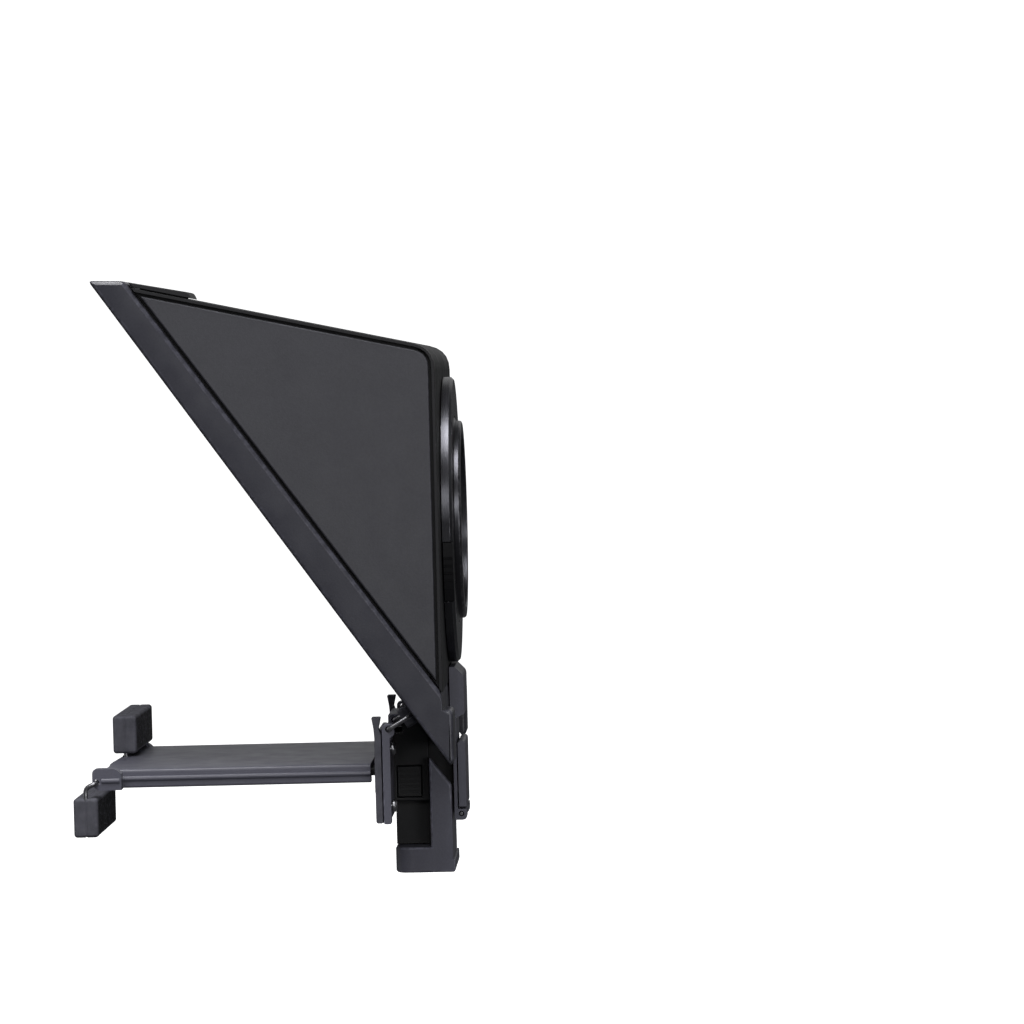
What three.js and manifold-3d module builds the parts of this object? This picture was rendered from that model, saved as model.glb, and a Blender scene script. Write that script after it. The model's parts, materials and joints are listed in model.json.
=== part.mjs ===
// A compact teleprompter hood for a camera lens, with a sprung phone holder below it.
// Millimetres. +X is the right-hand side, +Y is the rear (towards the camera), +Z is up.
// The origin is the centre of the adapter ring's rear face, on the lens axis.
import * as THREE from 'three';
import { mergeVertices } from 'three/addons/utils/BufferGeometryUtils.js';
import Module from 'manifold-3d';

const wasm = await Module();
wasm.setup();

// ---------- driving dimensions ----------
const GAP = 0.3;                       // clearance between touching pieces

const HOOD_HALF_WIDTH = 65;
const FRAME_TOP = [-107.5, 75.0];      // [y, z] of the slanted frame's top front edge
const FRAME_FOOT = [-3.9, -71.0];      // [y, z] of its bottom front edge
const FRAME_BACK_TOP = [-96.8, 74.7];  // the frame's seam with the side panels, top end
const FRAME_BACK_FOOT = [-5.65, -49.9];
const REAR_WALL_Y = -5.65;             // outer face of the hood's rear wall
const REAR_WALL_INSIDE_Y = -8.85;
const PANEL_THICKNESS = 2;
const PANEL_RECESS = 0.4;
const PANEL_INSIDE = HOOD_HALF_WIDTH - PANEL_RECESS - PANEL_THICKNESS;

const LATCH_INSIDE = 40;               // the latch stands on the roof's right-hand side
const LATCH_OUTSIDE = 62;

const LIP_INSIDE = 61.2;               // the roof's side lips close the seam behind the panels

const WINDOW_HALF_WIDTH = 57;          // clear opening of the slanted frame
const WINDOW_START = 12;               // distances down the slope from the frame's top edge
const WINDOW_END = 149;
const REBATE_MARGIN = 4;               // the glass seat is this much wider than the window
const REBATE_DEPTH = 2.4;

const FLANGE_RADIUS = 44;
const FLANGE_REAR_Y = -2.2;
const BORE_RADIUS = 32;                // the bore that the adapter ring turns in
const ADAPTER_RADIUS = 30.5;
const THREAD_RADIUS = 27;              // clear hole for a 55 mm filter thread
const RELEASE_ANGLE = THREE.MathUtils.degToRad(20);   // below the +X direction
const RELEASE_HALF_WIDTH = 9.5;

const POST_HALF_WIDTH = 18;
const POST_CHEEK_INSIDE = 12.9;
const POST_REAR_Y = -5.4;
const FOOT_REAR_Y = -4.7;
const POST_FRONT_Y = -23.1;
const POST_CHEEK_FRONT_Y = -12.1;
const FOOT_TOP_Z = -99.6;
const FOOT_HEEL_Z = -103.6;            // the foot's heel stands out behind the post below this
const FOOT_BOTTOM_Z = -107.5;

const LEVER_HALF_WIDTH = 14.5;
const LEVER_REAR_Y = -1;
const LEVER_TOP_Z = -67.6;
const LEVER_PIN = [-2.6, -89.9];       // [y, z]
const HOUSING_HALF_WIDTH = 15;

const CORE_FRONT_Y = -22.9;
const SLIDER_HALF_WIDTH = 12.5;
const SLIDER_FRONT_Y = -24.3;
const SLIDER_REAR_Y = -12.3;
const SLIDER_TOP_Z = -64.6;
const SLIDER_CREST_Z = -60.8;          // the slider's crest rises behind the knuckle
const SLIDER_CREST_FRONT_Y = -20.4;
const SLIDER_BOTTOM_Z = -85.9;
const BUTTON_FRONT_Y = -21.9;
const BUTTON_REAR_Y = -14.9;
const BUTTON_TOP_Z = -75.3;
const BUTTON_BOTTOM_Z = -84.4;

const JAW_HALF_WIDTH = 51;
const JAW_FRONT_Y = -26.0;
const JAW_REAR_Y = -23.2;
const JAW_END_FRONT_Y = -24.6;         // the end lugs stand behind the pad's thick ends
const JAW_BOTTOM_Z = -89.3;
const JAW_TOP_Z = -66.6;
const JAW_FENCE_Z = -61.2;             // low walls between the knuckle and the end lugs
const LUG_INSIDE = 46.1;               // the end lugs run from here to the jaw's ends

const TRAY_HALF_WIDTH = 44.3;
const TRAY_TOP_Z = -71.5;
const TRAY_BOTTOM_Z = -77.2;
const TRAY_FRONT_Y = -111.7;
const TRAY_REAR_Y = -28.6;
const TONGUE_HALF_WIDTH = 41.7;
const TRAY_LUG_TOP_Z = -70.8;

const WIRE_RADIUS = 0.7;
const OUTSIDE_LEG_X = 52.1;            // the wire legs that pass outside the end lugs
const INNER_AXLE = [-22.6, -60.8];     // [y, z] of the finger axles
const OUTER_AXLE = [-110.5, -74.9];
const OUTER_FINGER_THICKNESS = 7.4;
const INNER_FINGER_THICKNESS = 6.4;
const INNER_FINGER_LEAN = THREE.MathUtils.degToRad(58.8);   // turned back from upright

// ---------- solids ----------
function signedVolume(position, index) {
  const a = new THREE.Vector3();
  const b = new THREE.Vector3();
  const c = new THREE.Vector3();
  let volume = 0;
  for (let i = 0; i < index.length; i += 3) {
    a.fromBufferAttribute(position, index[i]);
    b.fromBufferAttribute(position, index[i + 1]);
    c.fromBufferAttribute(position, index[i + 2]);
    volume += a.dot(b.cross(c));
  }
  return volume;
}

function solid(geometry) {
  const bare = geometry.clone();
  bare.deleteAttribute('normal');
  bare.deleteAttribute('uv');
  const merged = mergeVertices(bare, 1e-4);
  const position = merged.getAttribute('position');
  const index = Array.from(merged.getIndex().array);
  const proper = [];
  for (let i = 0; i < index.length; i += 3) {
    const [p, q, r] = index.slice(i, i + 3);
    if (p !== q && q !== r && r !== p) proper.push(p, q, r);
  }
  if (signedVolume(position, proper) < 0) proper.reverse();
  return new wasm.Manifold(new wasm.Mesh({
    numProp: 3,
    vertProperties: new Float32Array(position.array),
    triVerts: new Uint32Array(proper),
  }));
}

function surface(manifold) {
  const mesh = manifold.getMesh();
  const geometry = new THREE.BufferGeometry();
  geometry.setAttribute('position', new THREE.BufferAttribute(mesh.vertProperties, 3));
  geometry.setIndex(new THREE.BufferAttribute(mesh.triVerts, 1));
  return geometry;
}

// An outline from [u, v] or [u, v, corner radius] points.
function outline(points) {
  const shape = new THREE.Shape();
  points.forEach(([u, v, radius = 0], i) => {
    const here = new THREE.Vector2(u, v);
    if (radius === 0) {
      if (i === 0) shape.moveTo(u, v);
      else shape.lineTo(u, v);
      return;
    }
    const before = new THREE.Vector2(...points.at(i - 1).slice(0, 2)).sub(here).setLength(radius);
    const after = new THREE.Vector2(...points[(i + 1) % points.length].slice(0, 2));
    after.sub(here).setLength(radius);
    const start = here.clone().add(before);
    const end = here.clone().add(after);
    if (i === 0) shape.moveTo(start.x, start.y);
    else shape.lineTo(start.x, start.y);
    shape.quadraticCurveTo(here.x, here.y, end.x, end.y);
  });
  shape.closePath();
  return shape;
}

function extruded(shape, depth, curveSegments = 5) {
  return new THREE.ExtrudeGeometry(shape, { depth, bevelEnabled: false, curveSegments });
}

const ALONG_X = new THREE.Matrix4().makeBasis(
  new THREE.Vector3(0, 1, 0), new THREE.Vector3(0, 0, 1), new THREE.Vector3(1, 0, 0));
const ALONG_Y = new THREE.Matrix4().makeBasis(
  new THREE.Vector3(0, 0, 1), new THREE.Vector3(1, 0, 0), new THREE.Vector3(0, 1, 0));

// [y, z] points swept from x0 to x1
function sweepX(points, x0, x1) {
  return solid(extruded(outline(points), x1 - x0).applyMatrix4(ALONG_X).translate(x0, 0, 0));
}

// [x, z] points swept from y0 to y1
function sweepY(points, y0, y1) {
  const crossed = points.map(([x, z, radius]) => [z, x, radius]);
  return solid(extruded(outline(crossed), y1 - y0).applyMatrix4(ALONG_Y).translate(0, y0, 0));
}

// [x, y] points swept from z0 to z1
function sweepZ(points, z0, z1) {
  return solid(extruded(outline(points), z1 - z0).translate(0, 0, z0));
}

function box(x0, x1, y0, y1, z0, z1) {
  const geometry = new THREE.BoxGeometry(x1 - x0, y1 - y0, z1 - z0);
  return solid(geometry.translate((x0 + x1) / 2, (y0 + y1) / 2, (z0 + z1) / 2));
}

// [radius, y] profile turned about the lens axis, or about a parallel axis through (x, z)
function turned(profile, segments, x = 0, z = 0) {
  const points = [...profile, profile[0]].map(([r, y]) => new THREE.Vector2(r, y));
  return solid(new THREE.LatheGeometry(points, segments).translate(x, 0, z));
}

function ring(outer, inner, y0, y1, segments) {
  return turned([[outer, y0], [outer, y1], [inner, y1], [inner, y0]], segments);
}

function pinX(radius, x0, x1, [y, z], segments = 12) {
  const geometry = new THREE.CylinderGeometry(radius, radius, x1 - x0, segments);
  return solid(geometry.rotateZ(Math.PI / 2).translate((x0 + x1) / 2, y, z));
}

function pinY(radius, y0, y1, x, z, segments = 12) {
  const geometry = new THREE.CylinderGeometry(radius, radius, y1 - y0, segments);
  return solid(geometry.translate(x, (y0 + y1) / 2, z));
}

function pinZ(radius, z0, z1, x, y, segments = 12) {
  const geometry = new THREE.CylinderGeometry(radius, radius, z1 - z0, segments);
  return solid(geometry.rotateX(Math.PI / 2).translate(x, y, (z0 + z1) / 2));
}

function bothSides(make) {
  return make(1).add(make(-1));
}

// A piece given for +X, on the chosen side
function onSide(side, piece) {
  return side > 0 ? piece : piece.mirror([1, 0, 0]);
}

// ---------- materials ----------
function plastic(color, roughness) {
  return new THREE.MeshStandardMaterial({ color, roughness, metalness: 0 });
}

function metal(color, roughness) {
  return new THREE.MeshStandardMaterial({ color, roughness, metalness: 1 });
}

const hoodPlastic = () => plastic(0x1b1c20, 0.6);
const panelPlastic = () => plastic(0x2a2b31, 0.8);
const ringMetal = () => metal(0x1d1d20, 0.4);
const postPlastic = () => plastic(0x34353c, 0.55);
const blackPlastic = () => plastic(0x0f0f12, 0.6);
const rubber = () => plastic(0x26262b, 0.9);
const steel = () => metal(0xb9bcc2, 0.3);
const glass = () => plastic(0x55606a, 0.05);

const teleprompter = new THREE.Group();

function addPart(name, manifold, material) {
  const mesh = new THREE.Mesh(surface(manifold), material);
  mesh.name = name;
  teleprompter.add(mesh);
}

// ---------- slanted front frame and glass ----------
const slopeVector = new THREE.Vector2(FRAME_FOOT[0] - FRAME_TOP[0], FRAME_FOOT[1] - FRAME_TOP[1]);
const downSlope = slopeVector.normalize();
const intoHood = new THREE.Vector2(-downSlope.y, downSlope.x);

// [y, z] of the frame's front face at height z
function onFront(z) {
  const share = (z - FRAME_FOOT[1]) / (FRAME_TOP[1] - FRAME_FOOT[1]);
  return [FRAME_FOOT[0] + share * (FRAME_TOP[0] - FRAME_FOOT[0]), z];
}

// [y, z] of a point u down the slope and v into the hood from the frame's front face
function onSlope(u, v) {
  return [
    FRAME_TOP[0] + downSlope.x * u + intoHood.x * v,
    FRAME_TOP[1] + downSlope.y * u + intoHood.y * v,
  ];
}

function slopeBox(halfWidth, u0, u1, v0, v1) {
  const corners = [onSlope(u0, v0), onSlope(u1, v0), onSlope(u1, v1), onSlope(u0, v1)];
  return sweepX(corners, -halfWidth, halfWidth);
}

const seatHalfWidth = WINDOW_HALF_WIDTH + REBATE_MARGIN;
const seatStart = WINDOW_START - 3;
const seatEnd = WINDOW_END + 3;

function slopeRing(v0, v1, rim) {
  const outer = slopeBox(seatHalfWidth - GAP, seatStart + GAP, seatEnd - GAP, v0, v1);
  const hole = slopeBox(seatHalfWidth - rim, seatStart + rim, seatEnd - rim, v0 - 1, v1 + 1);
  return outer.subtract(hole);
}

function frontFrame() {
  const slab = sweepX(
    [FRAME_TOP, FRAME_BACK_TOP, FRAME_BACK_FOOT, onFront(-68.5)],
    -HOOD_HALF_WIDTH, HOOD_HALF_WIDTH);
  const corner = [onFront(-54.5), [-2.6, -54.5, 1.6], [-2.6, -70, 0.8], FRAME_FOOT];
  const corners = bothSides((side) => onSide(side, sweepX(corner, 48, HOOD_HALF_WIDTH)));
  const window = slopeBox(WINDOW_HALF_WIDTH, WINDOW_START, WINDOW_END, -5, 30);
  const seat = slopeBox(seatHalfWidth, seatStart, seatEnd, REBATE_DEPTH, 30);
  return slab.add(corners).subtract(window).subtract(seat);
}

addPart('front_frame', frontFrame(), hoodPlastic());
addPart('glass_gasket', slopeRing(2.7, 3.3, 5.5), rubber());
addPart('beam_splitter_glass',
  slopeBox(seatHalfWidth - GAP, seatStart + GAP, seatEnd - GAP, 3.6, 5.6), glass());
addPart('glass_retainer', slopeRing(5.9, 8.3, 3.5), blackPlastic());

// ---------- hood ----------
function hoodShell() {
  const roofAndWall = sweepX([
    [-94.6, 72.5],
    [REAR_WALL_Y, 52.8, 6.5],
    [REAR_WALL_Y, -49.3],
    [REAR_WALL_INSIDE_Y, -44.9],
    [REAR_WALL_INSIDE_Y, 51.2, 4],
    [-92.3, 69.7],
  ], -HOOD_HALF_WIDTH, HOOD_HALF_WIDTH);
  const lip = [[-93.4, 70.9], [-89.9, 70.5], [-7.5, -42.2], [-8, -45.6]];
  const lips = bothSides((side) => onSide(side, sweepX(lip, LIP_INSIDE, PANEL_INSIDE - GAP)));
  const latchGroove = [[-93.2, 74], [-93.2, 70.9], [-76, 67.1], [-76, 70]];
  const groove = sweepX(latchGroove, LATCH_INSIDE + 4 - GAP, LATCH_OUTSIDE - 4 + GAP);
  const panelRebate = [[-97, 72.1], [-6.5, 52.1, 5.3], [-6.5, -52]];
  const rebates = bothSides((side) =>
    onSide(side, sweepX(panelRebate, PANEL_INSIDE - GAP, HOOD_HALF_WIDTH + 1)));
  const lensHole = pinY(37, REAR_WALL_INSIDE_Y - 1, REAR_WALL_Y + 1, 0, 0, 48);
  const screwHoles = screwPlaces.map(([x, z]) => pinY(1.3, -10, 0, x, z));
  const cuts = [rebates, lensHole, groove, ...screwHoles];
  return cuts.reduce((piece, cut) => piece.subtract(cut), roofAndWall).add(lips);
}

function sidePanel(side) {
  const edge = [[-92.15, 70.15], [-7.4, 51.37, 4.4], [-7.4, -45.8]];
  return onSide(side, sweepX(edge, PANEL_INSIDE, PANEL_INSIDE + PANEL_THICKNESS));
}

function frameLatch() {
  const wedge = [[-96.0, 74.4], [-78.2, 71.0, 0.8], [-77.3, 69.05], [-94.5, 72.85]];
  const guide = [[-92.8, 73], [-92.8, 71.3], [-79.6, 68.4], [-79.6, 70]];
  return sweepX(wedge, LATCH_INSIDE, LATCH_OUTSIDE)
    .add(sweepX(guide, LATCH_INSIDE + 4, LATCH_OUTSIDE - 4));
}

// ---------- lens mount ----------
const screwCircle = 39.8;
const screwPlaces = [45, 135, 225, 315].map((degrees) => {
  const angle = THREE.MathUtils.degToRad(degrees);
  return [screwCircle * Math.cos(angle), screwCircle * Math.sin(angle)];
});

// A bar pointing outwards from the lens axis along the release button's direction
function releaseBar(r0, r1, halfWidth, y0, y1) {
  const bar = new THREE.BoxGeometry(r1 - r0, y1 - y0, 2 * halfWidth);
  return solid(bar.translate((r0 + r1) / 2, (y0 + y1) / 2, 0).rotateY(RELEASE_ANGLE));
}

function mountFlange() {
  const flange = turned([
    [FLANGE_RADIUS - 0.8, FLANGE_REAR_Y],
    [BORE_RADIUS, FLANGE_REAR_Y],
    [BORE_RADIUS, -12.2],
    [36.5, -12.2],
    [36.5, REAR_WALL_Y + GAP],
    [FLANGE_RADIUS, REAR_WALL_Y + GAP],
    [FLANGE_RADIUS, FLANGE_REAR_Y - 0.8],
  ], 48);
  const slot = releaseBar(BORE_RADIUS - 1, 50, RELEASE_HALF_WIDTH + GAP, REAR_WALL_Y, 0);
  const counterbores = screwPlaces.map(([x, z]) => pinY(2.5, -4.1, 0, x, z, 16));
  const holes = screwPlaces.map(([x, z]) => pinY(1.3, -6, 0, x, z));
  return [slot, ...counterbores, ...holes].reduce((piece, cut) => piece.subtract(cut), flange);
}

function flangeScrew([x, z]) {
  const head = turned([[0, -3.8], [2.2, -3.8], [2.2, -2.6], [1.8, -2.3], [0, -2.3]], 16, x, z);
  const shank = pinY(1, -8.6, -3.7, x, z);
  const driverSlot = box(x - 1.5, x + 1.5, -2.9, -2, z - 0.3, z + 0.3);
  return head.add(shank).subtract(driverSlot);
}

function ringRelease() {
  const bar = releaseBar(BORE_RADIUS + 1.7, 50, RELEASE_HALF_WIDTH, -5.2, -2.3);
  const rim = pinY(FLANGE_RADIUS, -6, -1, 0, 0, 48);
  const ridges = [-3, -2, -1, 0, 1, 2, 3].map((i) => {
    const groove = new THREE.BoxGeometry(1.2, 6, 0.9).translate(FLANGE_RADIUS, -3.75, i * 2.4);
    return solid(groove.rotateY(RELEASE_ANGLE));
  });
  return ridges.reduce((piece, cut) => piece.subtract(cut), bar.intersect(rim));
}

function adapterRing() {
  return turned([
    [THREAD_RADIUS, 0],
    [ADAPTER_RADIUS - 0.5, 0],
    [ADAPTER_RADIUS, -0.5],
    [ADAPTER_RADIUS, -1.9],
    [BORE_RADIUS - 0.4, -2.4],
    [BORE_RADIUS - 0.4, -8.6],
    [THREAD_RADIUS, -8.6],
  ], 48);
}

addPart('hood_shell', hoodShell(), blackPlastic());
addPart('side_panel_right', sidePanel(1), panelPlastic());
addPart('side_panel_left', sidePanel(-1), panelPlastic());
addPart('frame_latch', frameLatch(), blackPlastic());
addPart('mount_flange', mountFlange(), ringMetal());
addPart('flange_nut', ring(41, 36.8, -11.9, REAR_WALL_INSIDE_Y - GAP, 48), ringMetal());
addPart('lens_seal', ring(BORE_RADIUS - GAP, 27.5, -11.8, -8.9, 48), rubber());
addPart('ring_release', ringRelease(), blackPlastic());
addPart('adapter_ring', adapterRing(), ringMetal());
screwPlaces.forEach((place, i) => addPart(`flange_screw_${i + 1}`, flangeScrew(place), steel()));

// ---------- post below the hood ----------
function postPlate() {
  const cheekShape = [
    [POST_CHEEK_FRONT_Y, -72.2],
    [POST_REAR_Y, -80.8, 0.6],
    [POST_REAR_Y, FOOT_TOP_Z - 1],
    [POST_CHEEK_FRONT_Y, FOOT_TOP_Z - 1],
  ];
  const cheeks = bothSides((side) =>
    onSide(side, sweepX(cheekShape, POST_CHEEK_INSIDE, POST_HALF_WIDTH)));
  const back = box(-POST_HALF_WIDTH, POST_HALF_WIDTH, -7.2, POST_REAR_Y, FOOT_TOP_Z - 1, -82);
  const foot = sweepZ([
    [-POST_HALF_WIDTH, POST_FRONT_Y, 5],
    [POST_HALF_WIDTH, POST_FRONT_Y, 5],
    [POST_HALF_WIDTH, POST_REAR_Y],
    [-POST_HALF_WIDTH, POST_REAR_Y],
  ], FOOT_BOTTOM_Z, FOOT_TOP_Z);
  const heel = box(-POST_HALF_WIDTH, POST_HALF_WIDTH, -7.2, FOOT_REAR_Y, FOOT_BOTTOM_Z, FOOT_HEEL_Z);
  const screwHole = pinZ(1.8, FOOT_BOTTOM_Z - 1, FOOT_TOP_Z + 1, 0, -14);
  const screwRecess = pinZ(3.4, FOOT_BOTTOM_Z - 1, -104.4, 0, -14, 20);
  return cheeks.add(back).add(foot).add(heel).subtract(screwHole).subtract(screwRecess);
}

function postCore() {
  const core = sweepX([
    [CORE_FRONT_Y, -72.4],
    [-20.4, -71.2],
    [-20.4, -64.8],
    [-17.9, -64.8],
    [-12.6, -60.6],
    [-11.9, -60.3],
    [-7.5, -66.8],
    [-7.5, -70.6],
    [-5.3, -71.4],
    [-5.3, -81.6],
    [-7.5, -81.6],
    [-7.5, FOOT_TOP_Z + GAP],
    [CORE_FRONT_Y, FOOT_TOP_Z + GAP],
  ], -9, 9);
  return core.subtract(pinZ(1.8, -100, -91, 0, -14));
}

function footScrew() {
  const head = pinZ(3.1, -107.1, -104.7, 0, -14, 20);
  const shank = pinZ(1.5, -104.8, -92, 0, -14);
  return head.add(shank).subtract(pinZ(1.4, -108, -105.9, 0, -14, 6));
}

function rearHousing() {
  const body = sweepX([
    [REAR_WALL_Y + GAP, -44.8],
    [-3.7, -44.8],
    [LEVER_REAR_Y, -47.5, 1],
    [LEVER_REAR_Y, -59.2],
    [-3.7, -60.5],
    [-3.7, -88.5],
    [LEVER_REAR_Y + 0.1, -88.5],
    [LEVER_REAR_Y + 0.1, -91.8, 1.4],
    [-4.7, -91.8],
    [-4.7, -70.4],
    [REAR_WALL_Y + GAP, -67.8],
  ], -HOUSING_HALF_WIDTH, HOUSING_HALF_WIDTH);
  const tongueWindow = box(-8.3, 8.3, -6, 1, -93, -87.4);
  const pinHole = pinX(0.85, -20, 20, LEVER_PIN);
  return body.subtract(tongueWindow).subtract(pinHole);
}

function lockLever() {
  const blade = sweepX([
    [-3.3, LEVER_TOP_Z - 0.6], [-2.7, LEVER_TOP_Z], [LEVER_REAR_Y, LEVER_TOP_Z, 1.1],
    [LEVER_REAR_Y, -87.7], [-3.3, -87.7],
  ], -LEVER_HALF_WIDTH, LEVER_HALF_WIDTH);
  const [pinY0, pinZ0] = LEVER_PIN;
  const tongue = sweepX([
    [pinY0 - 0.7, -87.6],
    [pinY0 + 1.4, -87.6],
    [pinY0 + 1.4, pinZ0 - 1.4, 1.2],
    [pinY0 - 1.4, pinZ0 - 1.4, 1.2],
    [pinY0 - 1.4, pinZ0],
  ], -8, 8);
  return blade.add(tongue).subtract(pinX(0.85, -10, 10, LEVER_PIN));
}

addPart('post_plate', postPlate(), postPlastic());
addPart('post_core', postCore(), blackPlastic());
addPart('foot_screw', footScrew(), steel());
addPart('rear_housing', rearHousing(), postPlastic());
addPart('lock_lever', lockLever(), postPlastic());
addPart('lever_pin', pinX(0.55, -14.8, 14.8, LEVER_PIN), steel());

// ---------- phone holder ----------
function sliderBlock() {
  const block = box(-SLIDER_HALF_WIDTH, SLIDER_HALF_WIDTH,
    SLIDER_FRONT_Y, SLIDER_REAR_Y, SLIDER_BOTTOM_Z, SLIDER_TOP_Z);
  const crest = box(-SLIDER_HALF_WIDTH, SLIDER_HALF_WIDTH,
    SLIDER_CREST_FRONT_Y, SLIDER_REAR_Y, SLIDER_TOP_Z - 1, SLIDER_CREST_Z);
  const channel = box(-9.3, 9.3,
    CORE_FRONT_Y - GAP, SLIDER_REAR_Y + 1, SLIDER_BOTTOM_Z - 1, SLIDER_CREST_Z + 1);
  const pockets = bothSides((side) => onSide(side, box(9, 20,
    BUTTON_FRONT_Y - GAP, BUTTON_REAR_Y + GAP, BUTTON_BOTTOM_Z - GAP, BUTTON_TOP_Z + GAP)));
  return block.add(crest).subtract(channel).subtract(pockets);
}

function sideButton(side) {
  const cap = box(10.9, 12.9, BUTTON_FRONT_Y, BUTTON_REAR_Y, BUTTON_BOTTOM_Z, BUTTON_TOP_Z);
  const grips = [-2, -1, 0, 1, 2].map((i) =>
    box(12.6, 13.5, BUTTON_FRONT_Y + 0.5, BUTTON_REAR_Y - 0.5, -80.1 + 1.6 * i, -79.5 + 1.6 * i));
  return onSide(side, grips.reduce((piece, cut) => piece.subtract(cut), cap));
}

function jawPlate() {
  const middle = LUG_INSIDE - GAP;
  const reach = LUG_INSIDE + 1;
  const plate = box(-middle, middle, JAW_FRONT_Y, JAW_REAR_Y, JAW_BOTTOM_Z, JAW_TOP_Z)
    .add(box(-reach, reach, JAW_END_FRONT_Y, JAW_REAR_Y, JAW_BOTTOM_Z, JAW_TOP_Z));
  const fence = box(16, middle, JAW_FRONT_Y, JAW_END_FRONT_Y, JAW_TOP_Z - 1, JAW_FENCE_Z);
  const fences = bothSides((side) => onSide(side, fence));
  const sliderRecess = box(-SLIDER_HALF_WIDTH - GAP, SLIDER_HALF_WIDTH + GAP,
    SLIDER_FRONT_Y - GAP, JAW_REAR_Y + 1, JAW_BOTTOM_Z - 1, SLIDER_TOP_Z + GAP);
  const column = [
    [JAW_END_FRONT_Y, -59.2, 1.4], [-20.9, -59.2, 1.4], [-20.9, -62.6, 0.8], [-22.3, -63.6],
    [-22.3, JAW_BOTTOM_Z, 0.6], [JAW_END_FRONT_Y, JAW_BOTTOM_Z, 0.6],
  ];
  const lugs = bothSides((side) => onSide(side, sweepX(column, LUG_INSIDE, JAW_HALF_WIDTH)));
  const knuckle = sweepX([
    [-26, -67], [-26, -63.5, 0.6], [-24.4, -61.2], [-24.4, -59, 1.1], [-20.8, -59, 1.1],
    [-20.8, -62, 0.8], [JAW_REAR_Y, -63.4], [JAW_REAR_Y, -67],
  ], -12.9, 12.9);
  const axleHole = pinX(WIRE_RADIUS + GAP, -JAW_HALF_WIDTH - 1, JAW_HALF_WIDTH + 1, INNER_AXLE, 8);
  const screwHoles = jawScrewPlaces.map(([x, z]) => pinY(1.2, -24.1, -21, x, z));
  const cuts = [axleHole, sliderRecess, ...screwHoles];
  const body = plate.add(fences).add(lugs).add(knuckle);
  return cuts.reduce((piece, cut) => piece.subtract(cut), body);
}

const jawScrewPlaces = [[47.8, -66.9], [47.8, -84], [-47.8, -66.9], [-47.8, -84]];

function jawScrew([x, z]) {
  const head = turned([[0, -22], [1.9, -22], [1.9, -21.2], [1.3, -20.7], [0, -20.7]], 14, x, z);
  return head.add(pinY(0.9, -23.8, -21.9, x, z));
}

function jawPad() {
  const pad = box(-LUG_INSIDE + 0.5, LUG_INSIDE - 0.5, -27.2, JAW_FRONT_Y - GAP, -88, -68.2);
  const endShape = [
    [-27.7, -57.2, 0.4], [-24.9, -57.2, 0.4], [-25.6, -60.6], [JAW_END_FRONT_Y - GAP, -62.4],
    [JAW_END_FRONT_Y - GAP, -89, 0.4], [-26.9, -89, 0.8], [-26.9, -63.4], [-27.1, -60.6],
  ];
  const rim = box(-LUG_INSIDE - 1, LUG_INSIDE + 1, -27.2, JAW_FRONT_Y - GAP, -80, -70);
  const ends = bothSides((side) => onSide(side, sweepX(endShape, LUG_INSIDE, JAW_HALF_WIDTH)));
  const tongueSlot = box(-TONGUE_HALF_WIDTH - 0.5, TONGUE_HALF_WIDTH + 0.5, -30, -20, -75.7, -73.1);
  const ribs = [-80.5, -83, -85.5].map((z) => box(-45, 45, -28, -26.9, z - 0.4, z + 0.4));
  return [tongueSlot, ...ribs].reduce((piece, cut) => piece.subtract(cut), pad.add(rim)).add(ends);
}

function innerTray() {
  const tongue = box(-TONGUE_HALF_WIDTH, TONGUE_HALF_WIDTH, -84, JAW_FRONT_Y - GAP, -75.3, -73.5);
  const springSlots = bothSides((side) => onSide(side, box(17.5, 22.5, -85, -33, -77, -72)));
  return tongue.subtract(springSlots);
}

function outerTray() {
  const rightEdge = [
    [42, -73.2],
    [42, -75.6],
    [38, -75.6],
    [38, TRAY_BOTTOM_Z],
    [TRAY_HALF_WIDTH, TRAY_BOTTOM_Z, 0.8],
    [TRAY_HALF_WIDTH, TRAY_TOP_Z, 1.1],
  ];
  const leftEdge = rightEdge.map(([x, z, radius]) => [-x, z, radius]).reverse();
  const section = [...leftEdge, ...rightEdge];
  const channel = sweepY(section, -105, TRAY_REAR_Y);
  const bar = box(-LUG_INSIDE - 0.5, LUG_INSIDE + 0.5, -108.6, -104.6, TRAY_BOTTOM_Z, TRAY_TOP_Z);
  const endLug = [
    [TRAY_FRONT_Y, TRAY_BOTTOM_Z + 1.4, 1.2],
    [TRAY_FRONT_Y, TRAY_LUG_TOP_Z, 1.4],
    [-104.6, TRAY_LUG_TOP_Z, 1.2],
    [-103, -72.4],
    [-103, TRAY_BOTTOM_Z],
    [-110, TRAY_BOTTOM_Z],
  ];
  const lugs = bothSides((side) => onSide(side, sweepX(endLug, LUG_INSIDE, JAW_HALF_WIDTH)));
  const knuckle = sweepX([
    [TRAY_FRONT_Y, TRAY_BOTTOM_Z, 1],
    [TRAY_FRONT_Y, -73.2, 1],
    [-108.4, TRAY_TOP_Z],
    [-108.4, TRAY_BOTTOM_Z],
  ], -3.6, 3.6);
  const axleHole = pinX(WIRE_RADIUS + GAP, -JAW_HALF_WIDTH - 1, JAW_HALF_WIDTH + 1, OUTER_AXLE, 8);
  const legNotches = bothSides((side) => onSide(side, box(4.1, 6.7, -115, -106.2, -80, -70)));
  const rail = pinY(0.8, -104, TRAY_REAR_Y, TRAY_HALF_WIDTH - 0.1, -74.4, 12)
    .add(pinY(0.8, -108.9, -103.5, JAW_HALF_WIDTH - 0.2, -74.4, 12));
  const rails = bothSides((side) => onSide(side, rail));
  const springPegs = bothSides((side) => onSide(side, pinZ(0.6, -75.4, -73.1, 20, -79, 8)));
  const body = channel.add(bar).add(lugs).add(rails).add(knuckle).add(springPegs);
  return body.subtract(axleHole).subtract(legNotches);
}

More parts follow.
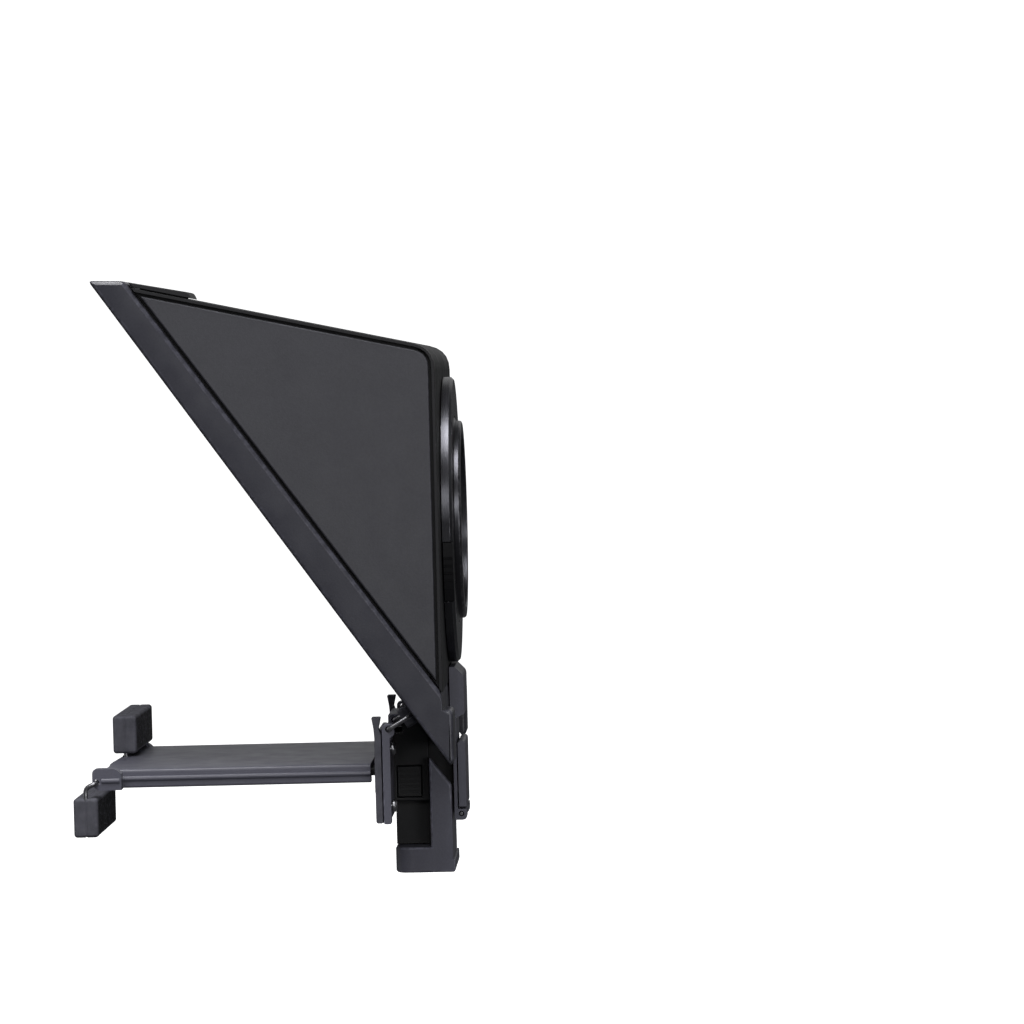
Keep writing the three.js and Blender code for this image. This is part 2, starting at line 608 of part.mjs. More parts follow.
class Coil extends THREE.Curve {
  constructor(radius, length, turns) {
    super();
    this.radius = radius;
    this.length = length;
    this.turns = turns;
  }

  getPoint(t, target = new THREE.Vector3()) {
    const angle = 2 * Math.PI * this.turns * t;
    return target.set(this.radius * Math.cos(angle), this.length * t, this.radius * Math.sin(angle));
  }
}

function disc(radius, sides) {
  return outline(Array.from({ length: sides }, (_, i) => {
    const angle = 2 * Math.PI * i / sides;
    return [radius * Math.cos(angle), radius * Math.sin(angle)];
  }));
}

function traySpring(side) {
  const coil = new Coil(0.9, 43, 12);
  const wire = new THREE.ExtrudeGeometry(disc(0.22, 4), { steps: 96, extrudePath: coil });
  return solid(wire.translate(20 * side, -77.2, -74.8));
}

// ---------- wire fingers ----------
const INNER_STUB = 3;
const OUTER_STUB = 5;

// A wire bent as a crank: an axle stub, a leg, a bar through the rubber block, a leg, a stub.
// Both stubs point inwards, towards X = 0, and the second leg passes outside its lug.
// legPoints are the leg's [y, z] points from the axle to the bar, with the finger upright.
function crankWire(radius, x0, x1, legPoints) {
  const place = (x, [y, z]) => new THREE.Vector3(x, y, z);
  const leg = (x) => legPoints.map((point) => place(x, point));
  const points = [
    place(x0 - INNER_STUB, [0, 0]), ...leg(x0), ...leg(x1).reverse(), place(x1 - OUTER_STUB, [0, 0]),
  ];
  const bend = 1.3;
  const path = new THREE.CurvePath();
  let from = points[0];
  for (let i = 1; i < points.length - 1; i += 1) {
    const corner = points[i];
    const before = corner.clone().add(points[i - 1].clone().sub(corner).setLength(bend));
    const after = corner.clone().add(points[i + 1].clone().sub(corner).setLength(bend));
    path.add(new THREE.LineCurve3(from, before));
    path.add(new THREE.QuadraticBezierCurve3(before, corner, after));
    from = after;
  }
  path.add(new THREE.LineCurve3(from, points.at(-1)));
  return solid(new THREE.ExtrudeGeometry(disc(radius, 5), { steps: 52, extrudePath: path }));
}

const OUTER_LEG = [[0, 0], [3.15, 1.4], [3.15, 12]];
const INNER_LEG = [[0, 0], [0, 7.9]];

const OUTER_FINGER = {
  axle: OUTER_AXLE,
  leg: OUTER_LEG,
  wireX: [5.4, OUTSIDE_LEG_X],
  block: { x: [2.6, 53.3], y: 3.15, z: [4.4, 16.2], thickness: OUTER_FINGER_THICKNESS },
};
const INNER_FINGER = {
  axle: INNER_AXLE,
  leg: INNER_LEG,
  wireX: [14.2, OUTSIDE_LEG_X],
  block: { x: [15.4, 45.6], y: 0, z: [4.6, 9], thickness: INNER_FINGER_THICKNESS },
};
const fingers = [
  { ...OUTER_FINGER, name: 'outer_right', side: 1, turn: Math.PI },
  { ...OUTER_FINGER, name: 'outer_left', side: -1, turn: 0 },
  { ...INNER_FINGER, name: 'inner_right', side: 1, turn: -INNER_FINGER_LEAN },
  { ...INNER_FINGER, name: 'inner_left', side: -1, turn: -INNER_FINGER_LEAN },
];

function placeFinger(piece, finger) {
  const [y, z] = finger.axle;
  const turnedPiece = piece.rotate([THREE.MathUtils.radToDeg(finger.turn), 0, 0]);
  return onSide(finger.side, turnedPiece.translate([0, y, z]));
}

function fingerBlock({ block, leg, wireX }) {
  const half = block.thickness / 2;
  const [bottom, top] = block.z;
  const body = sweepX([
    [block.y - half, bottom, 0.8], [block.y + half, bottom, 0.8],
    [block.y + half, top, 1.2], [block.y - half, top, 1.2],
  ], ...block.x);
  return body.subtract(crankWire(WIRE_RADIUS + GAP, ...wireX, leg));
}

addPart('slider_block', sliderBlock(), blackPlastic());
addPart('button_right', sideButton(1), blackPlastic());
addPart('button_left', sideButton(-1), blackPlastic());
addPart('jaw_plate', jawPlate(), postPlastic());
addPart('jaw_pad', jawPad(), rubber());
jawScrewPlaces.forEach((place, i) => addPart(`jaw_screw_${i + 1}`, jawScrew(place), steel()));
addPart('inner_tray', innerTray(), blackPlastic());
addPart('outer_tray', outerTray(), postPlastic());
addPart('tray_spring_right', traySpring(1), steel());
addPart('tray_spring_left', traySpring(-1), steel());
for (const finger of fingers) {
  const wire = crankWire(WIRE_RADIUS, ...finger.wireX, finger.leg);
  addPart(`finger_wire_${finger.name}`, placeFinger(wire, finger), steel());
  addPart(`finger_block_${finger.name}`, placeFinger(fingerBlock(finger), finger), rubber());
}

export default teleprompter;
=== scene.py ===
"""Looks of a compact teleprompter hood with a sprung phone holder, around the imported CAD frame.

Everything is in metres in the CAD frame: +X is the right-hand side, +Y the rear, +Z up, and the
origin is the centre of the adapter ring's rear face, on the lens axis.
"""

import json
import math

import bmesh
import bpy
from mathutils import Matrix, Quaternion, Vector


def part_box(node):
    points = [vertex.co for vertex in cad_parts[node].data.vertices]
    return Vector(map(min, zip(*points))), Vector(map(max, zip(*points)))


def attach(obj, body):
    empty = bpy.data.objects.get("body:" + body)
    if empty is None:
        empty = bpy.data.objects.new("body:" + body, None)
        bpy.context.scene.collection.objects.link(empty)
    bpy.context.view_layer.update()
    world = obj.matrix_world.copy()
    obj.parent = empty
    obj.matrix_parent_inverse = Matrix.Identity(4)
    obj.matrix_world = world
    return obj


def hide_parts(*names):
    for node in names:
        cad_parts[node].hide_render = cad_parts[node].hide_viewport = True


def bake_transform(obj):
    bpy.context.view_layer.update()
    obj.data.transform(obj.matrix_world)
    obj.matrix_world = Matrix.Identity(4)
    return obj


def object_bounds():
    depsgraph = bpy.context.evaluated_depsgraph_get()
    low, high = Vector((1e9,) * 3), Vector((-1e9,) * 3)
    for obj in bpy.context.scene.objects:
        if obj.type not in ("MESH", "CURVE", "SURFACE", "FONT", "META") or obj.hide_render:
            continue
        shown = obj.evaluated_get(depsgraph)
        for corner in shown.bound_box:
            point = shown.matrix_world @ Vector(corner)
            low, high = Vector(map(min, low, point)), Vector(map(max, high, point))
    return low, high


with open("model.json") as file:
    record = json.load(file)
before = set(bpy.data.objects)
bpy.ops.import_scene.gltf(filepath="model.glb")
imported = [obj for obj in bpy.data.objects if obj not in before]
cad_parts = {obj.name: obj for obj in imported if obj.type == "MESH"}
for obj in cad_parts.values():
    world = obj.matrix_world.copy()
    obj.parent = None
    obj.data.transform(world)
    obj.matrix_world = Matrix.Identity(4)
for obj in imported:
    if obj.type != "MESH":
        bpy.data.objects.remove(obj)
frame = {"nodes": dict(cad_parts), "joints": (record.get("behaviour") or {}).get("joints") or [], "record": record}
CAD_LOW, CAD_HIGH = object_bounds()
MM = 0.001
NODES = frame["nodes"]
NODE_BODY = {n: b for b, ns in frame["record"]["behaviour"]["bodies"].items() for n in ns}
NODE_SLOT = {s["node"]: s["material_slot"] for s in frame["record"]["subparts"]}
AXLE = {j["child"]: Vector(j["pos_m"]) for j in frame["joints"] if j["type"] == "hinge"}


# ---------- camera, light and stage ----------
CAMERA_PLACE = Vector((1.45, 0.0481, 0.044))
CAMERA_AIM = Vector((0.0, 0.0148, 0.0018))
CAMERA_ROLL = math.radians(-1.41)
CAMERA_LENS = 165.0
SENSOR_WIDTH = 36.0
MIDDLE = (0, -0.05, 0)             # what most lights point at
LIGHTS = {                         # place, target, size, watts
    "key": ((0.6, -0.32, 0.66), MIDDLE, (0.4, 0.35), 3.6),
    "side": ((1.3, 0.12, 0.45), MIDDLE, (0.4, 0.3), 3.2),
    "low": ((1.05, 0.55, -0.02), (0, -0.03, -0.08), (0.35, 0.2), 2.0),
    "overhead": ((0.35, -0.05, 1.0), MIDDLE, (0.3, 0.5), 9),
    "front": ((-0.25, -1.3, 0.25), MIDDLE, (0.9, 0.9), 2),
    "far_side": ((-1.2, 0.1, 0.5), MIDDLE, (0.8, 0.8), 0.8),
    "rear": ((-0.5, 1.3, 0.45), MIDDLE, (0.7, 0.7), 0.9),
}
WORLD_COLOR = (0.96, 0.98, 1, 1)
WORLD_STRENGTH = 0.08
FLOOR_DROP = 0.055                 # the floor lies this far below the hanging object
FLOOR_RINGS = (0.02, 0.5, 1.0, 1.6)
COVE_RADIUS = 3.2
COVE_BEND = 1.2
COVE_HEIGHT = 3.6
COVE_STEPS = 16
COVE_SIDES = 96


def make_camera():
    data = bpy.data.cameras.new("camera")
    data.lens = CAMERA_LENS
    data.sensor_width = SENSOR_WIDTH
    camera = bpy.data.objects.new("camera", data)
    bpy.context.scene.collection.objects.link(camera)
    camera.location = CAMERA_PLACE
    camera.rotation_mode = "QUATERNION"
    aim = (CAMERA_AIM - CAMERA_PLACE).to_track_quat("-Z", "Y")
    camera.rotation_quaternion = aim @ Quaternion((0, 0, 1), CAMERA_ROLL)
    bpy.context.scene.camera = camera


def softbox(name, place, target, size, watts):
    data = bpy.data.lights.new(name, "AREA")
    data.shape = "RECTANGLE"
    data.size, data.size_y = size
    data.energy = watts
    light = bpy.data.objects.new(name, data)
    light.visible_camera = False
    bpy.context.scene.collection.objects.link(light)
    light.location = place
    light.rotation_mode = "QUATERNION"
    light.rotation_quaternion = (Vector(target) - Vector(place)).to_track_quat("-Z", "Y")


def make_lights():
    for name, settings in LIGHTS.items():
        softbox(name, *settings)


def make_world():
    world = bpy.data.worlds.new("studio")
    bpy.context.scene.world = world
    world.use_nodes = True
    background = world.node_tree.nodes["Background"]
    background.inputs["Color"].default_value = WORLD_COLOR
    background.inputs["Strength"].default_value = WORLD_STRENGTH
    bpy.context.scene.view_settings.view_transform = "Standard"


def make_floor():
    """A pale round floor that sweeps up into a wall all round, like a studio cove."""
    bm = bmesh.new()
    z = CAD_LOW.z - FLOOR_DROP
    profile = [(r, z) for r in (*FLOOR_RINGS, COVE_RADIUS - COVE_BEND)]
    for step in range(1, COVE_STEPS + 1):
        turn = math.pi / 2 * step / COVE_STEPS
        profile.append((COVE_RADIUS - COVE_BEND + COVE_BEND * math.sin(turn),
                        z + COVE_BEND - COVE_BEND * math.cos(turn)))
    profile.append((COVE_RADIUS, z + COVE_HEIGHT))
    rows = []
    for r, height in profile:
        rows.append([bm.verts.new((r * math.cos(t), r * math.sin(t), height))
                     for t in (math.tau * i / COVE_SIDES for i in range(COVE_SIDES))])
    bm.faces.new(rows[0])
    for near, far in zip(rows, rows[1:]):
        for i in range(COVE_SIDES):
            j = (i + 1) % COVE_SIDES
            bm.faces.new((near[i], far[i], far[j], near[j]))
    for face in bm.faces:
        face.smooth = True
    floor = new_object("floor", bm)
    floor.visible_diffuse = False
    floor.visible_glossy = False
    floor.data.materials.append(floor_material())


# ---------- node material helpers ----------
class Look:
    """A Principled material whose textures are laid out in millimetres of object space."""

    def __init__(self, name, color, roughness, metallic=0.0, specular=0.5):
        self.material = bpy.data.materials.new(name)
        self.material.use_nodes = True
        self.tree = self.material.node_tree
        self.tree.nodes.clear()
        output = self.add("ShaderNodeOutputMaterial")
        self.shader = self.add("ShaderNodeBsdfPrincipled")
        self.link(self.shader.outputs[0], output.inputs["Surface"])
        self.set("Base Color", (*color, 1))
        self.set("Roughness", roughness)
        self.set("Metallic", metallic)
        self.set("Specular IOR Level", specular)
        place = self.add("ShaderNodeTexCoord")
        scale = self.add("ShaderNodeVectorMath", operation="SCALE")
        scale.inputs["Scale"].default_value = 1 / MM
        self.link(place.outputs["Object"], scale.inputs[0])
        self.position = scale.outputs["Vector"]

    def add(self, kind, **settings):
        node = self.tree.nodes.new(kind)
        for key, value in settings.items():
            setattr(node, key, value)
        return node

    def link(self, source, target):
        self.tree.links.new(source, target)

    def set(self, socket, value):
        self.shader.inputs[socket].default_value = value

    def feed(self, socket, value):
        self.link(value, self.shader.inputs[socket])

    def stretched(self, factors):
        node = self.add("ShaderNodeVectorMath", operation="MULTIPLY")
        self.link(self.position, node.inputs[0])
        node.inputs[1].default_value = factors
        return node.outputs["Vector"]

    def noise(self, size_mm, detail=2.0, roughness=0.5, vector=None):
        node = self.add("ShaderNodeTexNoise")
        node.inputs["Scale"].default_value = 1 / size_mm
        node.inputs["Detail"].default_value = detail
        node.inputs["Roughness"].default_value = roughness
        self.link(vector or self.position, node.inputs["Vector"])
        return node.outputs["Fac"]

    def cells(self, size_mm):
        node = self.add("ShaderNodeTexVoronoi")
        node.inputs["Scale"].default_value = 1 / size_mm
        self.link(self.position, node.inputs["Vector"])
        return node.outputs["Distance"]

    def ranged(self, value, low, high, to_low, to_high):
        node = self.add("ShaderNodeMapRange")
        self.link(value, node.inputs["Value"])
        limits = {"From Min": low, "From Max": high, "To Min": to_low, "To Max": to_high}
        for key, number in limits.items():
            node.inputs[key].default_value = number
        return node.outputs["Result"]

    def math(self, operation, a, b):
        node = self.add("ShaderNodeMath", operation=operation)
        for socket, value in zip(node.inputs, (a, b)):
            if isinstance(value, (int, float)):
                socket.default_value = value
            else:
                self.link(value, socket)
        return node.outputs[0]

    def mix(self, factor, a, b):
        node = self.add("ShaderNodeMix", data_type="RGBA")
        self.link(factor, node.inputs["Factor"])
        for socket, value in ((node.inputs[6], a), (node.inputs[7], b)):
            if isinstance(value, tuple):
                socket.default_value = (*value, 1)
            else:
                self.link(value, socket)
        return node.outputs[2]

    def wear(self, amount):
        """How worn the surface is: the bevelled edges, broken up by noise."""
        edge = self.add("ShaderNodeAttribute", attribute_name="wear").outputs["Fac"]
        patches = self.ranged(self.noise(2.2, 4, 0.65), 0.42, 0.7, 0, amount)
        return self.math("MULTIPLY", edge, patches)

    def bump(self, height, strength, distance_mm, before=None):
        node = self.add("ShaderNodeBump")
        node.inputs["Strength"].default_value = strength
        node.inputs["Distance"].default_value = distance_mm * MM
        self.link(height, node.inputs["Height"])
        if before is not None:
            self.link(before, node.inputs["Normal"])
        self.link(node.outputs["Normal"], self.shader.inputs["Normal"])
        return node.outputs["Normal"]


def shade(color, factor):
    return tuple(min(1.0, c * factor) for c in color)


def moulded(name, color, roughness, grain_mm, grain_depth, worn=0.5, specular=0.5):
    """Moulded plastic with a spark-eroded grain, faint mottling and rubbed edges."""
    look = Look(name, color, roughness, specular=specular)
    mottle = look.noise(16, 3, 0.6)
    body = look.mix(look.ranged(mottle, 0.3, 0.7, 0, 1), shade(color, 0.95), shade(color, 1.05))
    speck = look.ranged(look.noise(grain_mm * 1.6, 3, 0.7), 0.35, 0.7, 0, 0.35)
    body = look.mix(speck, body, shade(color, 1.5))
    body = look.mix(look.wear(worn), body, shade(color, 3.2))
    look.feed("Base Color", body)
    rub = look.ranged(look.noise(9, 4, 0.6), 0.3, 0.75, roughness - 0.07, roughness + 0.08)
    look.feed("Roughness", rub)
    coarse = look.bump(look.noise(grain_mm, 3, 0.65), 0.55, grain_depth)
    look.bump(look.cells(grain_mm * 1.3), 0.25, grain_depth, coarse)
    return look.material


def rubber_look(name, color):
    """Dusty moulded rubber; the marked gripping faces are painted dark as painted shade, with light pebbled
    specks.
    """
    look = Look(name, color, 0.72, specular=0.35)
    dust = look.ranged(look.noise(4.5, 5, 0.7), 0.4, 0.75, 0, 0.7)
    body = look.mix(dust, shade(color, 0.85), shade(color, 1.45))
    body = look.mix(look.wear(0.35), body, shade(color, 2.0))
    grip = look.add("ShaderNodeAttribute", attribute_name="grip").outputs["Fac"]
    specks = look.ranged(look.noise(0.9, 2, 0.7), 0.56, 0.66, 0, 1)
    # painted shade: the gripping faces are darkened to a fifth of the rubber's colour, broken by light specks
    shaded_pebbles = look.mix(specks, shade(color, 0.22), shade(color, 1.5))
    body = look.mix(grip, body, shaded_pebbles)
    look.feed("Base Color", body)
    look.feed("Roughness", look.ranged(look.noise(3, 3), 0.3, 0.7, 0.62, 0.84))
    look.bump(look.noise(0.35, 3, 0.7), 0.5, 0.05)
    return look.material


def anodised(name, color, roughness):
    """Black anodised aluminium with faint turning marks round the lens axis."""
    look = Look(name, color, roughness, metallic=0.85, specular=0.6)
    parts = look.add("ShaderNodeSeparateXYZ")
    look.link(look.position, parts.inputs[0])
    squares = [look.math("MULTIPLY", parts.outputs[i], parts.outputs[i]) for i in (0, 2)]
    radius = look.math("SQRT", look.math("ADD", *squares), 0.0)
    rings = look.add("ShaderNodeCombineXYZ")
    look.link(radius, rings.inputs[0])
    look.link(parts.outputs[1], rings.inputs[1])
    turning = look.noise(0.12, 2, 0.6, rings.outputs[0])
    tint = look.ranged(look.noise(10, 3), 0.3, 0.7, 0, 1)
    body = look.mix(tint, shade(color, 0.85), shade(color, 1.25))
    body = look.mix(look.wear(0.6), body, (0.28, 0.28, 0.3))
    look.feed("Base Color", body)
    look.feed("Roughness", look.ranged(turning, 0.3, 0.7, roughness - 0.06, roughness + 0.08))
    look.bump(turning, 0.25, 0.02)
    return look.material


def steel_look(name):
    """Drawn steel wire, streaked along its length and tarnished in patches."""
    look = Look(name, (0.3, 0.3, 0.31), 0.3, metallic=1.0)
    tarnish = look.ranged(look.noise(3.5, 4, 0.6), 0.35, 0.7, 0, 1)
    look.feed("Base Color", look.mix(tarnish, (0.34, 0.34, 0.36), (0.16, 0.16, 0.17)))
    drawn = look.noise(0.25, 2, 0.6, look.stretched((0.08, 1, 1)))
    look.feed("Roughness", look.ranged(drawn, 0.3, 0.7, 0.24, 0.42))
    look.bump(drawn, 0.3, 0.01)
    return look.material


def glass_look(name):
    """A half-mirror: a thin bright coating on clear glass, with faint smears."""
    look = Look(name, (0.86, 0.9, 0.92), 0.02)
    look.set("Transmission Weight", 1.0)
    look.set("IOR", 1.9)
    smears = look.noise(30, 4, 0.6, look.stretched((1, 0.35, 0.35)))
    look.feed("Roughness", look.ranged(smears, 0.45, 0.8, 0.01, 0.07))
    cast = look.ranged(smears, 0.3, 0.8, 0, 1)
    look.feed("Base Color", look.mix(cast, (0.88, 0.92, 0.93), (0.8, 0.85, 0.88)))
    return look.material


def floor_material():
    """A faintly clouded white that glows enough to read as a bright studio floor."""
    look = Look("floor", (0.9, 0.9, 0.9), 0.7, specular=0.2)
    clouds = look.ranged(look.noise(60, 3), 0.3, 0.7, 0, 1)
    body = look.mix(clouds, (0.88, 0.88, 0.88), (0.93, 0.93, 0.93))
    look.feed("Base Color", body)
    look.set("Emission Color", (1, 1, 1, 1))
    look.set("Emission Strength", 1.0)
    return look.material


LOOKS = {
    "hood_plastic": moulded("hood_plastic", (0.031, 0.031, 0.040), 0.38, 0.35, 0.03),
    "panel_plastic": moulded("panel_plastic", (0.031, 0.031, 0.038), 0.6, 0.45, 0.035, 0.35),
    "ring_metal": anodised("ring_metal", (0.06, 0.06, 0.068), 0.3),
    "post_plastic": moulded("post_plastic", (0.090, 0.090, 0.116), 0.42, 0.3, 0.02),
    "black_plastic": moulded("black_plastic", (0.0065, 0.0065, 0.008), 0.55, 0.3, 0.025,
                             worn=0.35, specular=0.35),
    "rubber": rubber_look("rubber", (0.072, 0.072, 0.088)),
    "steel": steel_look("steel"),
    "glass": glass_look("glass"),
}


# ---------- mesh helpers ----------
def new_object(name, bm):
    mesh = bpy.data.meshes.new(name)
    bm.to_mesh(mesh)
    bm.free()
    piece = bpy.data.objects.new(name, mesh)
    bpy.context.scene.collection.objects.link(piece)
    return piece


def finish(piece, node):
    """Gives a piece the finish of the CAD node it stands for."""
    slot = NODE_SLOT[node]
    piece.data.materials.clear()
    piece.data.materials.append(LOOKS[slot])
    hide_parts(node)
    return piece


def fit_out(piece, node):
    """Finishes a piece like its CAD node, and makes it ride on the node's body."""
    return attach(finish(piece, node), NODE_BODY[node])


SHARP = math.radians(28)
SAME_SURFACE = math.cos(math.radians(50))
ROUND_CHORD = math.radians(9)      # the CAD's round parts have facets narrower than this
LENS_RADIUS_MIN = 0.025            # rims round the lens axis are at least this big
LONG_EDGE = 0.12                   # edges this long keep their full rounding
LONG_FAVOUR = 3.2
CIRCLE_CUTS = 2
SAME_RADIUS = 3e-6
SAME_Y = 2e-6
SHORTEST_RIM = 1e-5
FACET_SLACK = 2e-5
ON_CIRCLE = 1e-7
MERGE = 2e-6                       # corners closer than this are one corner
NEARLY_FLAT = math.radians(0.4)
TINY_EDGE = 1e-7
PARALLEL = 0.82                    # edges this much in line with another take no room from it
SHARED_ROOM, OWN_ROOM = 0.46, 0.92
FULL_ROOM = 1.0
SHARES = (1.0, 0.5, 0.25)
BEVEL_SEGMENTS = 3
CAP_INSET, CAP_RISE = 0.35, 0.25   # the domed ends of a wire, in radii
BEND_STEPS = 7
DEFAULT_BEVEL = 0.2
WIDE_BEVELS = {"front_frame", "post_plate", "side_panel_right", "side_panel_left", "slider_block"}
BEVELS = {
    "front_frame": 1.2, "hood_shell": 0.25, "side_panel_right": 0.45, "side_panel_left": 0.45,
    "frame_latch": 0.25, "mount_flange": 0.5, "ring_release": 0.25, "adapter_ring": 0.3,
    "post_plate": 0.7, "post_core": 0.4, "rear_housing": 0.6, "lock_lever": 0.5,
    "slider_block": 0.4, "button_right": 0.2, "button_left": 0.2, "jaw_plate": 0.6,
    "outer_tray": 0.4, "inner_tray": 0.25, "jaw_pad": 0.3,
    "glass_gasket": 0.12, "glass_retainer": 0.4, "flange_nut": 0.4, "lens_seal": 0.3,
    "beam_splitter_glass": 0.3, "lever_pin": 0.12, "foot_screw": 0.2,
}


def finish_shading(bm):
    for face in bm.faces:
        face.smooth = True
    for edge in bm.edges:
        if len(edge.link_faces) == 2:
            edge.smooth = edge.calc_face_angle(0) < SHARP


def set_normals(piece):
    """Keeps wide flat faces flat, and lets the narrow rounded ones turn smoothly into them."""
    mesh = piece.data
    around = [[] for _ in mesh.vertices]
    for face in mesh.polygons:
        for corner in face.vertices:
            around[corner].append((face.normal, face.area * face.area))
    normals = []
    for face in mesh.polygons:
        for corner in face.vertices:
            total = Vector()
            for normal, weight in around[corner]:
                if normal.dot(face.normal) > SAME_SURFACE:
                    total += normal * weight
            normals.append(total.normalized() if total.length > 0 else face.normal.copy())
    mesh.normals_split_custom_set(normals)


def true_circles(bm):
    """Turns the facets round the lens axis into three times as many, on the true circle."""
    def reach(vert):
        return math.hypot(vert.co.x, vert.co.z)
    rims = []
    for edge in bm.edges:
        first, second = edge.verts
        radius = reach(first)
        if (radius > LENS_RADIUS_MIN and abs(radius - reach(second)) < SAME_RADIUS
                and abs(first.co.y - second.co.y) < SAME_Y
                and SHORTEST_RIM < edge.calc_length() < radius * ROUND_CHORD):
            rims.append((edge, radius))
    if not rims:
        return
    wanted = {round(radius, 5) for _, radius in rims}
    old = set(bm.verts)
    bmesh.ops.subdivide_edges(
        bm, edges=[edge for edge, _ in rims], cuts=CIRCLE_CUTS, use_grid_fill=True)
    for vert in bm.verts:
        if vert in old:
            continue
        here = reach(vert)
        for radius in wanted:
            if radius * math.cos(ROUND_CHORD / 2) - FACET_SLACK < here < radius - ON_CIRCLE:
                vert.co.x *= radius / here
                vert.co.z *= radius / here
                break


def convex_edges(bm):
    return [e for e in bm.edges
            if len(e.link_faces) == 2 and e.is_convex and e.calc_face_angle(0) > SHARP]


def room_at(edge, sharp):
    """The widest rounding that fits along an edge, from the lengths of the edges that leave it."""
    along = (edge.verts[1].co - edge.verts[0].co).normalized()
    room = FULL_ROOM
    for vert in edge.verts:
        for other in vert.link_edges:
            if other is edge or other.calc_length() < TINY_EDGE:
                continue
            away = (other.other_vert(vert).co - vert.co).normalized()
            if abs(along.dot(away)) > PARALLEL:
                continue
            room = min(room, other.calc_length() * (SHARED_ROOM if other in sharp else OWN_ROOM))
    return room


def round_edges(bm, width_mm, clamped):
    """Rounds each outer edge as wide as fits, up to the width, and marks the new faces as worn."""
    wear = bm.loops.layers.float.get("wear") or bm.loops.layers.float.new("wear")

    def room(edge):
        favour = LONG_FAVOUR if edge.calc_length() > LONG_EDGE else 1
        return room_at(edge, sharp) * favour

    for share in SHARES:
        width = width_mm * MM * share
        sharp = set(convex_edges(bm))
        edges = [e for e in sharp if room(e) >= width]
        edges.sort(key=lambda e: e.index)
        if not edges:
            continue
        made = bmesh.ops.bevel(
            bm, geom=edges, offset=width, offset_type="OFFSET", segments=BEVEL_SEGMENTS,
            profile=0.5, affect="EDGES", clamp_overlap=clamped)
        for face in made["faces"]:
            for loop in face.loops:
                loop[wear] = 1.0
        bm.edges.index_update()


def refined(node):
    """The CAD node's own shape with its outer edges rounded, as on a moulded or machined piece."""
    bm = bmesh.new()
    bm.from_mesh(NODES[node].data)
    bmesh.ops.remove_doubles(bm, verts=bm.verts, dist=MERGE)
    bmesh.ops.dissolve_limit(bm, angle_limit=NEARLY_FLAT, verts=bm.verts, edges=bm.edges)
    true_circles(bm)
    bm.edges.index_update()
    round_edges(bm, BEVELS.get(node, DEFAULT_BEVEL), node not in WIDE_BEVELS)
    finish_shading(bm)
    piece = new_object("visible_" + node, bm)
    set_normals(piece)
    return fit_out(piece, node)


def skin(bm, rings):
    """Joins neighbouring rings of corners with four-sided faces."""
    sides = len(rings[0])
    for near, far in zip(rings, rings[1:]):
        for k in range(sides):
            j = (k + 1) % sides
            bm.faces.new((near[k], near[j], far[j], far[k]))


def tube(bm, path, radius, sides):
    """Sweeps a round section along a path of points, turning it as little as possible."""
    rings = []
    tangent = (path[1] - path[0]).normalized()
    across = tangent.orthogonal().normalized()
    for i, point in enumerate(path):
        ahead = path[min(i + 1, len(path) - 1)]
        behind = path[max(i - 1, 0)]
        new_tangent = (ahead - behind).normalized()
        across = tangent.rotation_difference(new_tangent) @ across
        tangent = new_tangent
        across = (across - tangent * across.dot(tangent)).normalized()
        other = tangent.cross(across)
        rings.append([bm.verts.new(point + radius * (across * math.cos(t) + other * math.sin(t)))
                      for t in (math.tau * k / sides for k in range(sides))])
    skin(bm, rings)
    ahead = path[1] - path[0]
    for ring, inward in ((rings[0], ahead), (rings[-1], path[-2] - path[-1])):
        cap = bm.faces.new(ring if inward.dot(ahead) < 0 else list(reversed(ring)))
        bmesh.ops.inset_region(
            bm, faces=[cap], thickness=radius * CAP_INSET, depth=radius * CAP_RISE)


def bent(corners, bend):
    """A path through the corners with each one rounded to a bend."""
    path = [corners[0]]
    for before, corner, after in zip(corners, corners[1:], corners[2:]):
        start = corner + (before - corner).normalized() * bend
        end = corner + (after - corner).normalized() * bend
        for k in range(BEND_STEPS + 1):
            t = k / BEND_STEPS
            path.append(start.lerp(corner, t).lerp(corner.lerp(end, t), t))
    path.append(corners[-1])
    return path


# ---------- wire fingers and their rubber blocks ----------
WIRE_RADIUS = 0.7
WIRE_BEND = 2.1
WIRE_SIDES = 14
OUTSIDE_LEG_X = 52.35              # the wire legs pass outside the end lugs
STUB_IN, STUB_OUT = 3.0, 5.0       # how far the wire's ends reach into the knuckle and the lug
BEND_SHARE = 0.48                  # the most of a straight stretch that a bend takes up
OUTER = {"legs": (5.4, OUTSIDE_LEG_X), "leg": ((0, 0), (3.15, 1.4), (3.15, 12)),
         "block": (2.6, 53.3), "middle": 3.15, "thick": 7.4, "reach": (4.4, 16.2), "round": 1.05}
INNER = {"legs": (14.2, OUTSIDE_LEG_X), "leg": ((0, 0), (0, 7.9)),
         "block": (15.4, 45.6), "middle": 0.0, "thick": 6.4, "reach": (4.6, 9.0), "round": 0.9}
INNER_LEAN = math.radians(-58.8)
GRID_SPACING = 0.9
CORNER_ANGLES = (12, 23, 34, 45)
LINE_GAP = 0.05
EDGE_CELLS = 4                     # grid cells along a block's edges that count as worn
SEAM_DEPTH = 0.22
SEAM_WIDTH = 0.2
SEAM_LINES = (-1.6, -0.6, 0.0, 0.6, 1.6)
SEAM_REACH = 1.5
PEBBLE_HEIGHT = 0.3
PEBBLE_MIDDLE = 0.75
PEBBLE_BORDER = 0.25
PEBBLE_WAVES = (12.9898, 78.233, 37.719)
PEBBLE_SPREAD = 43758.5453


def finger_place(body):
    """Takes a finger's own millimetres, axle along X and finger upright, to the frame."""
    mirrored = body.endswith("left")
    turn = INNER_LEAN
    if "outer" in body:
        turn = 0.0 if mirrored else math.pi
    axle = AXLE[body]
    place = Matrix.Translation((0, axle.y, axle.z)) @ Matrix.Rotation(turn, 4, "X")
    side = Matrix.Diagonal((-1 if mirrored else 1, 1, 1, 1))
    return side @ place @ Matrix.Scale(MM, 4)


